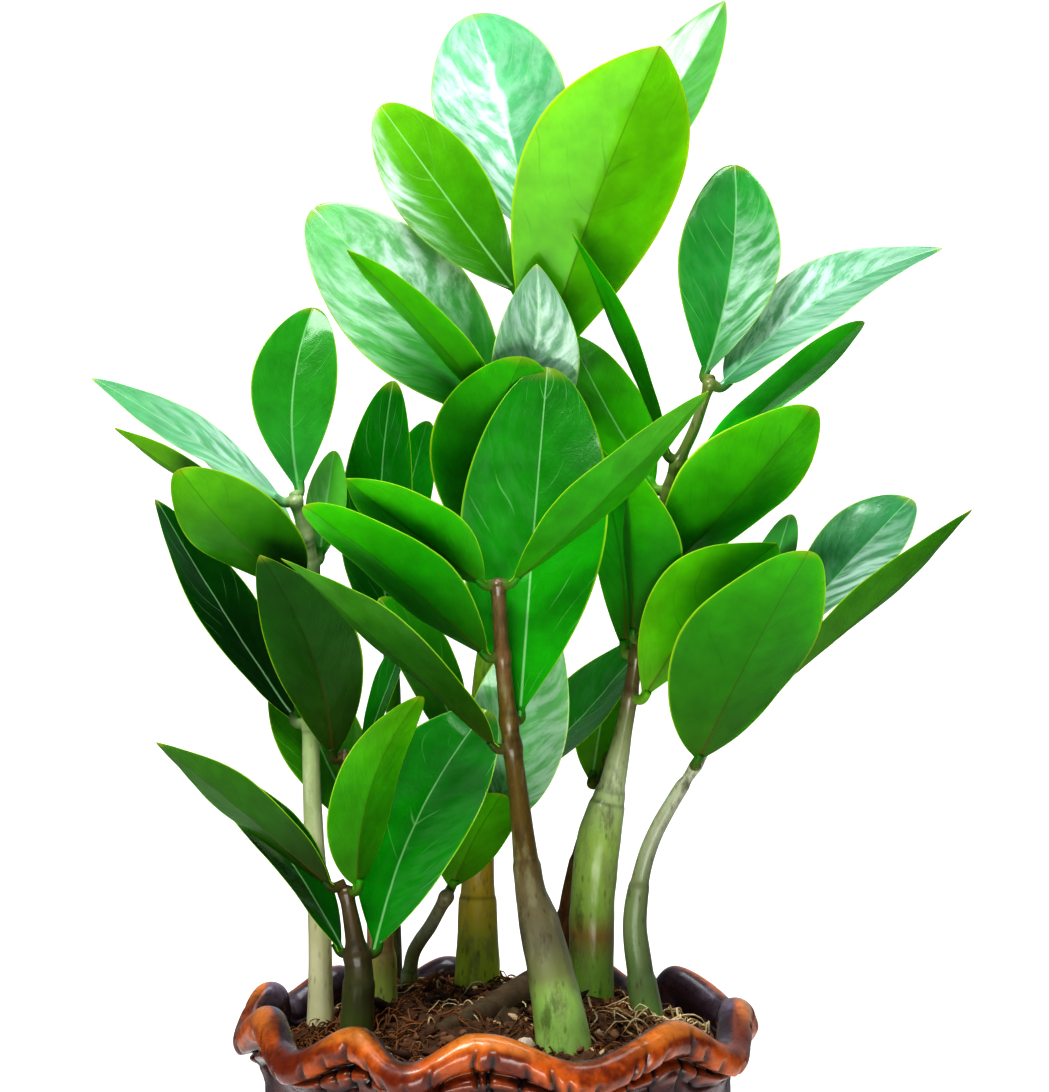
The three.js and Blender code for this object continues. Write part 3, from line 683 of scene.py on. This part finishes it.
# tones go up each stem as (mm above the rim, colour); bands are old leaf scars in mm above the rim
stems = {
    "front": {"skin": "stem_olive", "bands": [47], "tones": [
        (-4, "#B2D876"), (10, "#A6CA6A"), (16, "#848A56"), (25, "#6E6A50"), (40, "#6E6244"), (50, "#5C4A1C"),
        (90, "#66501E"), (104, "#7A5C38"), (126, "#6E5C3A")]},
    # painted light: the tall, left and twig stems stand in shade, and their tones are made brighter to make
    # up for it
    "tall": {"skin": "stem_olive", "bands": [30], "tones": [
        (0, "#DCFF66"), (12, "#D8F04C"), (24, "#CCBC3C"), (42, "#BC9830"), (110, "#5E9E24"),
        (224, "#66AC30")]},
    "right": {"skin": "stem_olive", "bands": [58, 62], "tones": [
        (-4, "#8CC44C"), (12, "#98BC58"), (20, "#A4864A"), (27, "#A0BE5C"), (48, "#AECA6A"), (64, "#C8D4A4"),
        (80, "#8E9664"), (92, "#6A5434"), (130, "#708A38"), (181, "#86904C")]},
    "slim": {"skin": "stem_olive", "bands": [10, 37, 66], "tones": [
        (-4, "#86AA5C"), (10, "#7C945E"), (34, "#7A885A"), (52, "#A0A688"), (72, "#B4B898"), (88, "#62543A"),
        (108, "#6B6038")]},
    "pale": {"skin": "stem_cream", "bands": [], "tones": [
        (-4, "#E8E2B4"), (24, "#E0DEAA"), (60, "#C8CE98"), (100, "#9EBE7A"), (130, "#BCCC96"),
        (148, "#A8C080")]},
    "left": {"skin": "stem_olive", "bands": [16], "tones": [
        (-4, "#D8F490"), (8, "#D0E078"), (18, "#B08A60"), (45, "#889040"), (75, "#86704C")]},
    "dark": {"skin": "stem_dark", "bands": [12], "tones": [
        (-4, "#607230"), (6, "#525826"), (20, "#463A1A"), (39, "#5A4626")]},
    "twig": {"skin": "stem_dark", "bands": [8], "tones": [(-4, "#7E9A70"), (20, "#9CAA90"), (34, "#948C68")]},
    "sheath": {"skin": "stem_sheath", "bands": [24, 40], "lean": 2.5 * mm, "slim": 0.75, "tones": [
        (-4, "#4E3418"), (26, "#7C4C24"), (56, "#5A6426"), (71, "#6C7A2C")]},
    "back": {"skin": "stem_olive", "bands": [20], "tones": [
        (-4, "#4A4214"), (30, "#3C5010"), (60, "#2E7010"), (128, "#3C8218")]},
}
stalk = {
    "joint": 0.45 * mm, "jointReach": 2.2 * mm,  # swelling where a leaf grows
    "step": 0.22 * mm,  # how much a stem narrows at a scar
    "columns": 36,
}
stemSkins = {
    "stem_olive": stemSkin("olive_stalk_skin", "#8E8A66", "#3A2E18", 0.24),
    "stem_cream": stemSkin("cream_stalk_skin", "#F0EBC8", "#A89A6A", 0.35),
    "stem_dark": stemSkin("dark_stalk_skin", "#5C5A44", "#1C1A10", 0.35),
    "stem_sheath": stemSkin("papery_sheath", "#A47A4E", "#341E0E", 0.6),
}
leafNodes = sorted((name for name in frame["nodes"] if name.startswith("leaf_")),
                   key=lambda name: (name.split("_")[1], int(name.split("_")[2])))


def stemLine(name):
    # centre line and radius of a CAD stem, whose rings of eight corners lie one above the other
    corners = mergedPoints(frame["nodes"]["stem_" + name])
    rings = corners[np.argsort(corners[:, 2])].reshape(-1, 8, 3)
    middle = rings.mean(1)
    radius = np.linalg.norm(rings - middle[:, None], axis=2).mean(1)
    line = smoothLine(np.column_stack([middle, radius]), 40 * len(rings))
    reach = np.concatenate([[0], np.cumsum(np.linalg.norm(np.diff(line[:, :3], axis=0), axis=1))])
    place = np.linspace(0, reach[-1], int(reach[-1] / (0.9 * mm)))
    return np.stack([np.interp(place, reach, line[:, k]) for k in range(4)], -1), place


def leafFrame(name):
    # reads a CAD leaf back: its base, tip, directions and the formula's sizes; a CAD leaf is ten
    # diamond-shaped rings of four corners along its chord, then the tip
    corners = mergedPoints(frame["nodes"][name])
    gaps = np.linalg.norm(corners[:, None] - corners[None], axis=2)
    first, second = np.unravel_index(gaps.argmax(), gaps.shape)
    lonely = np.sort(gaps, axis=1)[:, 1:5].mean(1)
    tip, foot = (first, second) if lonely[first] > lonely[second] else (second, first)
    base = corners[np.argsort(gaps[foot])[:8]].mean(0)
    for _ in range(3):  # settles the base: its first ring lies square to the chord
        along = unit(corners[tip] - base)
        order = np.argsort((corners - base) @ along)
        base = corners[order[:4]].mean(0)
    length = np.linalg.norm(corners[tip] - base)
    rings = corners[order[:40]].reshape(10, 4, 3)
    spread = np.linalg.norm(rings[:, :, None] - rings[:, None], axis=3).reshape(10, 16)
    widest = rings[spread.max(1).argmax()]
    i, j = np.unravel_index(np.linalg.norm(widest[:, None] - widest[None], axis=2).argmax(), (4, 4))
    side = unit(widest[i] - widest[j])
    others = np.delete(np.arange(4), [i, j])
    lift = (widest[i] + widest[j]) / 2 - widest[others].mean(0)
    above = unit(lift - lift @ side * side - lift @ along * along)
    side = unit(np.cross(above, along))
    local = (rings - base) @ np.stack([along, side, above], 1)
    place = local[:, :, 0].mean(1) / length
    half = np.ptp(local[:, :, 1], axis=1) / 2
    edges = np.sort(local[:, :, 1], axis=1)
    mids = np.array([ring[np.argsort(np.abs(ring[:, 1] - row.mean()))[:2]].mean(0)
                     for ring, row in zip(local, edges[:, [0, 3]])])
    bow = 4 * place * (1 - place)
    big = half.argmax()
    edgeLift = local[big][np.argsort(-np.abs(local[big][:, 1] - mids[big, 1]))[:2], 2].mean() - mids[big, 2]
    return {"base": base, "along": along, "side": side, "above": above, "length": length,
            "arch": mids[big, 2] / bow[big], "sway": mids[big, 1] / bow[big],
            "fold": math.atan2(edgeLift, half[big]), "width": math.hypot(edgeLift, half[big]),
            "places": place, "halves": half}


leafFrames = {name: leafFrame(name) for name in leafNodes}
stemLines = {name: stemLine(name) for name in stems}
print("stems and leaves read:", len(stemLines), len(leafFrames))


def makeStem(name):
    # a tube on the CAD stem's own line, point = middle + radius (side cos(angle) + front sin(angle)):
    # swollen at its leaves, creased at its scars, ribbed and lumpy
    look = stems[name]
    line, place = stemLines[name]
    middle = line[:, :3] + np.array([look.get("lean", 0), 0, 0])
    radius = line[:, 3] * look.get("slim", 1)
    height = (middle[:, 2] - potHeight) / mm
    scar = np.zeros_like(place)
    for leaf in (n for n in leafNodes if n.split("_")[1] == name):
        at = place[np.linalg.norm(middle - leafFrames[leaf]["base"], axis=1).argmin()]
        radius += stalk["joint"] * np.exp(-((place - at) / stalk["jointReach"]) ** 2)
        scar = np.maximum(scar, 0.7 * np.exp(-((place - at - stalk["jointReach"]) / (0.5 * mm)) ** 2))
        scar = np.maximum(scar, 0.4 * np.exp(-((place - at + 2.6 * mm) / (0.45 * mm)) ** 2))
    for band in look["bands"]:
        radius += stalk["step"] * np.tanh((band - height) / 0.6)
        scar = np.maximum(scar, 0.55 * np.exp(-((height - band) / 0.5) ** 2))
    left = (place[-1] - place) / radius[-1]
    radius *= np.sqrt(np.clip(1 - (1 - np.clip(left, 0.02, 1)) ** 2, 0, 1))
    ahead = unit(np.gradient(middle, axis=0))
    side = unit(np.array([1.0, 0, 0]) - ahead[:, :1] * ahead)
    front = np.cross(ahead, side)
    angle = np.arange(stalk["columns"]) / stalk["columns"] * 2 * np.pi
    out = side[:, None] * np.cos(angle)[:, None] + front[:, None] * np.sin(angle)[:, None]
    skin = middle[:, None] + out * radius[:, None, None]
    rib = 0.012 * np.cos(11 * angle + 2 * np.sin(place / (23 * mm))[:, None])
    rib = rib + 0.035 * lumps(skin, 6 * mm, 51)
    skin = skin + out * (radius[:, None] * rib)[..., None]
    ragged = scar[:, None] * (0.75 + 0.5 * lumps(skin, 2 * mm, 52))
    tone = alongStops(look["tones"], height)[:, None] + 0 * angle[:, None]
    makePiece("stalk_" + name, [skins(skin[None], tone=tone[None], scar=np.clip(ragged, 0, 1)[None])],
              stemSkins[look["skin"]], look["skin"], "stem_" + name)


for name in stems:
    makeStem(name)
print("stems made")


# leaves

# each leaf's colours on the side that looks to the front: base, middle and tip. They hold painted light:
# painted shade in the darker bases and in the near-black leaves deep in shade, painted reflection in the
# grey-mint of the glossy leaves, and brighter tones on leaves shaded by others, such as right_4
leafTones = {
    "front_1": ("#1C4E08", "#24640A", "#4C9416"), "front_2": ("#1A7408", "#229A08", "#4CBE0A"),
    "front_3": ("#289A08", "#34AA0C", "#52B814"), "front_4": ("#219A04", "#34A206", "#62B030"),
    "front_5": ("#1C900A", "#1A8C08", "#167E06"), "tall_1": ("#3F9E56", "#52AE6C", "#5CB87A"),
    "tall_2": ("#3C9004", "#6CBA02", "#78C202"), "tall_3": ("#4CA038", "#62B050", "#5CA848"),
    "tall_4": ("#347408", "#4E9A08", "#70B81C"), "tall_5": ("#1C7E04", "#409A38", "#6CB86C"),
    "tall_6": ("#3A9A0A", "#48AC08", "#5EB408"), "tall_7": ("#427F4E", "#5A9466", "#649E6C"),
    "tall_8": ("#023E02", "#045A02", "#38A804"), "tall_9": ("#3C9030", "#68B664", "#6CC26C"),
    "tall_10": ("#0E780A", "#127C0A", "#107A08"), "tall_11": ("#2C7014", "#2E7A08", "#349A0E"),
    "right_1": ("#228A2A", "#2C903A", "#2E923A"), "right_2": ("#3A8C54", "#4A9864", "#4A9864"),
    "right_3": ("#0E6E06", "#2EA00C", "#34AE0A"), "right_4": ("#1CD806", "#30DC08", "#44DC0A"),
    "right_5": ("#249405", "#3E9E04", "#54B00A"), "right_6": ("#4CBE08", "#3C9E0A", "#48A818"),
    "right_7": ("#106602", "#1C8604", "#4AB204"), "right_8": ("#107004", "#1CA20A", "#34C004"),
    "right_9": ("#6CB80A", "#62C004", "#64CC0C"), "slim_1": ("#2A7406", "#2E8408", "#40A008"),
    "slim_2": ("#307A2C", "#327E48", "#408E58"), "slim_3": ("#44840C", "#428412", "#448414"),
    "slim_4": ("#4CA04A", "#4CA04A", "#4CA04A"), "sheath_1": ("#5C9018", "#50900E", "#3C8C0C"),
    "pale_1": ("#3C9A40", "#329028", "#2E8C22"), "pale_2": ("#62AC78", "#5AAC70", "#60AC70"),
    "pale_3": ("#50860F", "#5A980C", "#6CAA0A"), "pale_4": ("#7CC888", "#8AD098", "#8AD098"),
    "pale_5": ("#225A08", "#34800A", "#62AE08"), "pale_6": ("#052E04", "#063806", "#0C5A12"),
    "pale_7": ("#18760C", "#64B840", "#66C048"), "dark_4": ("#144008", "#2C6808", "#3A7008"),
    "left_1": ("#1C4E02", "#1A5004", "#1C5402"), "left_2": ("#3A8008", "#40840C", "#4E9A12"),
    "left_3": ("#0C6403", "#107A05", "#147C04"), "dark_1": ("#0C6005", "#064A02", "#053E02"),
    "dark_2": ("#338E0A", "#46A40A", "#5A9E06"), "dark_3": ("#10800C", "#0E8208", "#0C7C06"),
    "twig_1": ("#509C08", "#54A80A", "#50A804"), "back_1": ("#0A5C0A", "#10800E", "#107C0C"),
    "back_2": ("#16A010", "#16B010", "#1EC01E"),
}
# where the leaf is painted with pale sheen, a painted reflection: how much on the left and on the right half
# (seen from the named side, tip up), how far along its middle lies and how far it reaches; "rim" keeps it
# near the margin
paintedSheenPatches = {
    "tall_1": (0.95, 0.3, 0.45, 0.5), "tall_3": (0.6, 0.1, 0.5, 0.5), "tall_4": (0.9, 0, 0.7, 0.3, "rim"),
    "tall_5": (0.5, 0.95, 0.62, 0.24), "tall_7": (0.5, 0.5, 0.5, 1), "tall_9": (0.45, 0.5, 0.5, 1),
    "right_1": (0.05, 0.6, 0.4, 0.35), "right_2": (0.75, 0.4, 0.45, 0.35), "slim_2": (0.1, 0.6, 0.5, 0.35),
    "pale_2": (0.45, 0.7, 0.25, 0.35), "pale_4": (0.7, 0.7, 0.5, 0.5), "front_5": (0.03, 0, 0.6, 0.3),
    "dark_3": (0, 0.05, 0.5, 0.4), "pale_7": (0.3, 0, 0.5, 0.4),
    "tall_10": (0.04, 0, 0.7, 0.3), "right_8": (0.02, 0.02, 0.5, 0.5),
}
leafDull = {"pale_2": 0.35, "pale_6": 0.5, "tall_4": 0.7}  # share of the usual gloss
# leaves drawn out to a point; the others end bluntly
acute = ["front_1", "front_3", "front_4", "right_9", "right_3", "pale_2", "tall_3", "tall_7", "left_2",
         "right_6", "right_2", "tall_6", "left_3", "left_1", "tall_2", "slim_3", "dark_4", "pale_3", "pale_6"]
blade = {
    "stalk": 1.3 * mm, "thick": 0.42 * mm,  # half thickness at the midrib
    "upperTone": "#17801C", "underTone": "#4C7E1C",  # the side turned to the back
    "groove": 0.3 * mm, "ridge": 0.5 * mm, "ribWidth": 0.9 * mm, "vein": 0.12 * mm, "dents": 0.16 * mm,
    "wave": 0.9 * mm,  # rise and fall of the margin
    "pointed": 0.1, "blunt": -0.16,  # how the outline closes at the tip
    "foot": 0.03,  # share of the length that is stalk
    "rows": 76, "columns": 44,
}
leafSkins = {"leaf_light": leafSkin("backlit_waxy_leaf", 0.3), "leaf_deep": leafSkin("deep_waxy_leaf", 0.12)}
slotOf = {part["node"]: part["material_slot"] for part in frame["record"]["subparts"]}


def outline(share, wide, sharp):
    # half width as a share of the widest: a sine whose peak is moved to wide, drawn out to a point
    return np.sin(np.pi * share ** (math.log(0.5) / math.log(wide))) ** (0.7 + sharp * share**2)


def widestPlace(shape):
    # tries widest places and keeps the one whose outline lies nearest the CAD rings
    share = np.clip((shape["places"] - blade["foot"]) / (1 - blade["foot"]), 0, 1)
    tries = np.linspace(0.36, 0.66, 61)
    flat = shape["width"] * math.cos(shape["fold"])
    miss = [np.abs(flat * outline(share[3:], wide, 0) - shape["halves"][3:]).sum() for wide in tries]
    return tries[int(np.argmin(miss))]


def makeLeaf(name, seed):
    # a closed blade: at each place along the chord its section is a flat ellipse folded at the midrib,
    # point = middle + side * half cos(turn) + above * (fold + half thickness sin(turn) + relief)
    shape = leafFrames[name]
    short = name[5:]
    base, low, high = leafTones[short]
    left, right, place, reach, *rim = paintedSheenPatches.get(short, (0, 0, 0.5, 1))
    dice = np.random.default_rng(seed)
    t = np.linspace(0, 1, blade["rows"])
    s = (0.5 - 0.5 * np.cos(np.pi * t))[:, None]
    turn = (np.arange(blade["columns"]) + 0.5) / blade["columns"] * 2 * np.pi
    v = np.sign(np.cos(turn)) * np.abs(np.cos(turn)) ** 1.4  # closer together at the midrib
    share = np.clip((s - blade["foot"]) / (1 - blade["foot"]), 0, 1)
    sharp = blade["pointed"] if short in acute else blade["blunt"]
    half = np.maximum(shape["width"] * outline(share, widestPlace(shape), sharp), 0.02 * mm)
    neck = blade["stalk"] * (1 - smoothStep(0.0, 0.5, s)) + 0.02 * mm
    half = np.sqrt(half**2 + neck**2 * (1 - share) ** 6)
    spread = 1 - blade["stalk"] / np.maximum(half, blade["stalk"])
    thick = blade["thick"] * np.clip(half / mm, 0.2, 1)
    thick = (thick + (blade["stalk"] - blade["thick"]) * np.exp(-s / 0.035)) * (1 - 0.45 * s)
    off = np.abs(v) * half
    upper = (np.sin(turn) > 0) * 1.0 + 0 * s
    gloss = upper * leafDull.get(short, 1)
    # relief: groove above and ridge below the midrib, and creases along the side veins
    rib = np.exp(-(off / blade["ribWidth"]) ** 2) * (1 - 0.7 * s)
    relief = np.where(upper > 0, -blade["groove"] * rib, -blade["ridge"] * rib) * smoothStep(0.02, 0.12, s)
    phase = leafFinish["veins"] * s - leafFinish["sweep"] * np.abs(v) ** 1.3 + dice.uniform(0, 1)
    crease = np.exp(-(((phase % 1) - 0.5) / 0.16) ** 2) * (1 - v**4) * np.sin(np.pi * s)
    relief = relief - blade["vein"] * crease
    swing = np.sin(2 * np.pi * (1.3 * s + dice.uniform(0, 1)) + (v > 0) * 1.9)
    wave = blade["wave"] * (half / (14 * mm)) * v**2 * swing
    foldHeight = half * np.sin(shape["fold"] * spread) * (np.sqrt(v**2 + 0.02) - 0.1414) / 0.868
    twist = math.radians(dice.uniform(-7, 7)) * (s - 0.5)
    bow = 4 * s * (1 - s)
    x = half * v * np.cos(shape["fold"] * spread)
    z = foldHeight + thick * np.sin(turn) + relief + wave * smoothStep(0.05, 0.3, s)
    x, z = x * np.cos(twist) - z * np.sin(twist), x * np.sin(twist) + z * np.cos(twist)
    x = x + shape["sway"] * bow
    z = z + shape["arch"] * bow
    z = z + blade["dents"] * lumps(np.stack([s * shape["length"] + 0 * x, x, 0 * x], -1), 6 * mm, seed)
    points = (shape["base"] + shape["along"] * (s * shape["length"])[..., None]
              + shape["side"] * x[..., None] + shape["above"] * z[..., None])
    # colours: the named ones on the side that looks to the front, plain ones on the other
    frontUpper = shape["above"][1] < 0
    named = alongStops([(0.05, base), (0.5, low), (0.95, high)], s[:, 0])[:, None]
    plain = linear(blade["upperTone"] if not frontUpper else blade["underTone"])
    isNamed = (upper > 0.5) == frontUpper
    # painted sheen, a painted reflection: its share on each half, strongest at its place along the leaf
    wax = np.where((v > 0) == frontUpper, left, right) * np.exp(-((s - place) / reach) ** 2)
    wax = wax * smoothStep(0.4, 0.7, np.abs(v)) if rim else wax
    tone = np.where(isNamed[..., None], named, plain)
    ripe = 0.55 * smoothStep(0.95, 1.0, s)[..., None]
    tone = tone * (1 - ripe) + linear(leafFinish["ripe"]) * ripe
    reddish = np.exp(-s / 0.27)[..., None] * (1 - upper)[..., None]
    ribTone = np.where(upper[..., None] > 0.5, tone * 0.45 + linear(leafFinish["midrib"]) * 0.55, tone * 0.62)
    ribTone = ribTone * (1 - 0.85 * reddish) + linear(leafFinish["ribFoot"]) * 0.85 * reddish
    tone = tone * (1 - 0.3 * reddish) + linear(leafFinish["foot"]) * 0.3 * reddish
    bladeSkin = skins(points[None], tone=tone[None], rib=ribTone[None], across=(v + 0 * s)[None],
                      along=(s + 0 * v)[None], upper=upper[None], gloss=gloss[None],
                      wax=(wax * isNamed)[None], half=(half / mm + 0 * v)[None])
    # the short stalk, from the middle of the stem into the blade
    stem = short.split("_")[0]
    line = stemLines[stem][0]
    start = line[np.linalg.norm(line[:, :3] - shape["base"], axis=1).argmin(), :3]
    path = smoothLine(np.array([start, shape["base"], shape["base"] + shape["along"] * 3.5 * mm]), 16)
    green = linear(stems[stem]["tones"][-1][1])  # as at the top of its stem
    fade = np.linspace(0, 1, 16)[:, None, None]
    stalkTone = green * (1 - fade) + linear(base) * fade + np.zeros((16, 12, 4))
    stalkSkin = tubes(path[None], np.linspace(1.75, 1.15, 16) * mm, 12, tone=stalkTone[None],
                      rib=stalkTone[None], across=0.5, along=0.02, upper=0.0, gloss=0.0, wax=0.0, half=9.0)
    slot = slotOf[name]
    makePiece("blade_" + short, [bladeSkin, stalkSkin], leafSkins[slot], slot, name)


for seed, name in enumerate(leafNodes):
    makeLeaf(name, 100 + seed)
print("leaves made")


# floor, light and camera

stageSize = {"reach": 0.42, "columns": 96}
# height is what the view takes in at the aim point
view = {"aim": (7.5 * mm, 0, 241 * mm), "pitch": math.radians(3), "distance": 1.1, "height": 311.22 * mm}


def makeFloor():
    # a disc of paper under the pot, a touch below its foot
    radius = np.array([0.001, 1, 1, 0.001])[:, None] * stageSize["reach"]
    height = np.array([0, 0, -0.001, -0.001])[:, None] - 0.0002
    angle = np.arange(stageSize["columns"]) / stageSize["columns"] * 2 * np.pi
    points = np.stack([radius * np.sin(angle), radius * np.cos(angle), height + 0 * angle], -1)
    grid = skins(points[None])
    mesh = bpy.data.meshes.new("paper_floor")
    mesh.from_pydata(grid["verts"].tolist(), [], grid["quads"].tolist() + grid["tris"].tolist())
    mesh.materials.append(seamlessPaper())
    floor = bpy.data.objects.new("paper_floor", mesh)
    bpy.context.scene.collection.objects.link(floor)


def aimAt(thing, place, target):
    # turns a lamp or camera so that its -Z looks at the target
    back = unit(np.array(place) - np.array(target))
    right = unit(np.cross(up, back))
    turn = np.stack([right, np.cross(back, right), back, place], 1)
    thing.matrix_world = Matrix(turn.tolist() + [[0, 0, 0, 1]])


lamps = {
    "window_left": {"place": (-0.45, -0.8, 1.4), "size": (0.6, 0.5), "power": 14.0, "tint": "#F8FFFF"},
    "sky_over": {"place": (0.1, 0.15, 1.7), "size": (1.0, 0.8), "power": 9.0, "tint": "#F6FBFF"},
    "bounce_front": {"place": (-0.1, -1.2, -0.35), "size": (0.9, 0.5), "power": 10.5, "tint": "#FFFFFF"},
    "sky_behind": {"place": (0.25, 1.05, 0.95), "size": (0.8, 0.6), "power": 12.0, "tint": "#FFFFFF"},
}
sky = {"front": (-0.3, -0.4, 0.86), "frontLight": 0.6, "back": (0.3, 0.75, 0.6), "backLight": 0.3,
       "dim": 0.13, "tint": "#F4FAFF"}


def makeLight():
    for name, lamp in lamps.items():
        light = bpy.data.lights.new(name, "AREA")
        light.shape = "RECTANGLE"
        light.size, light.size_y = lamp["size"]
        light.energy = lamp["power"]
        light.color = linear(lamp["tint"])[:3]
        holder = bpy.data.objects.new(name, light)
        holder.visible_glossy = name != "sky_behind"  # lights the plant through, without a white rim
        bpy.context.scene.collection.objects.link(holder)
        aimAt(holder, lamp["place"], (0, 0, 0.26))
    world = bpy.data.worlds.new("pale_room")
    bpy.context.scene.world = world
    world.use_nodes = True
    world.node_tree.nodes.clear()
    add = partial(addNode, world.node_tree)
    # what the plant receives: a dim room, a broad bright sky up in front and a smaller one behind;
    # what the camera sees behind the plant: plain white
    way = add("TexCoord", out=0)
    front = add("VectorMath", {0: way, 1: tuple(unit(np.array(sky["front"])))}, 1, operation="DOT_PRODUCT")
    back = add("VectorMath", {0: way, 1: tuple(unit(np.array(sky["back"])))}, 1, operation="DOT_PRODUCT")
    front = add("MapRange", {0: front, 1: 0.72, 2: 0.98, 3: sky["dim"], 4: sky["frontLight"]}, **softStep)
    back = add("MapRange", {0: back, 1: 0.5, 2: 0.95, 3: 0.0, 4: sky["backLight"]}, **softStep)
    glow = add("Math", {0: front, 1: back}, **added)
    seen = add("LightPath")
    room = add("Background", {"Color": linear(sky["tint"]), "Strength": glow})
    white = add("Background", {"Color": (1.0, 1.0, 1.0, 1.0), "Strength": 1.0})
    add("OutputWorld", {"Surface": add("MixShader", {0: seen, 1: room, 2: white})})


def makeCamera():
    camera = bpy.data.objects.new("camera", bpy.data.cameras.new("camera"))
    bpy.context.scene.collection.objects.link(camera)
    place = (view["aim"][0], view["aim"][1] - view["distance"] * math.cos(view["pitch"]),
             view["aim"][2] + view["distance"] * math.sin(view["pitch"]))
    aimAt(camera, place, view["aim"])
    camera.data.lens = camera.data.sensor_width * view["distance"] / view["height"]
    bpy.context.scene.camera = camera


makeFloor()
makeLight()
makeCamera()
bpy.context.scene.view_settings.view_transform = "Standard"
bpy.context.scene.view_settings.look = "High Contrast"
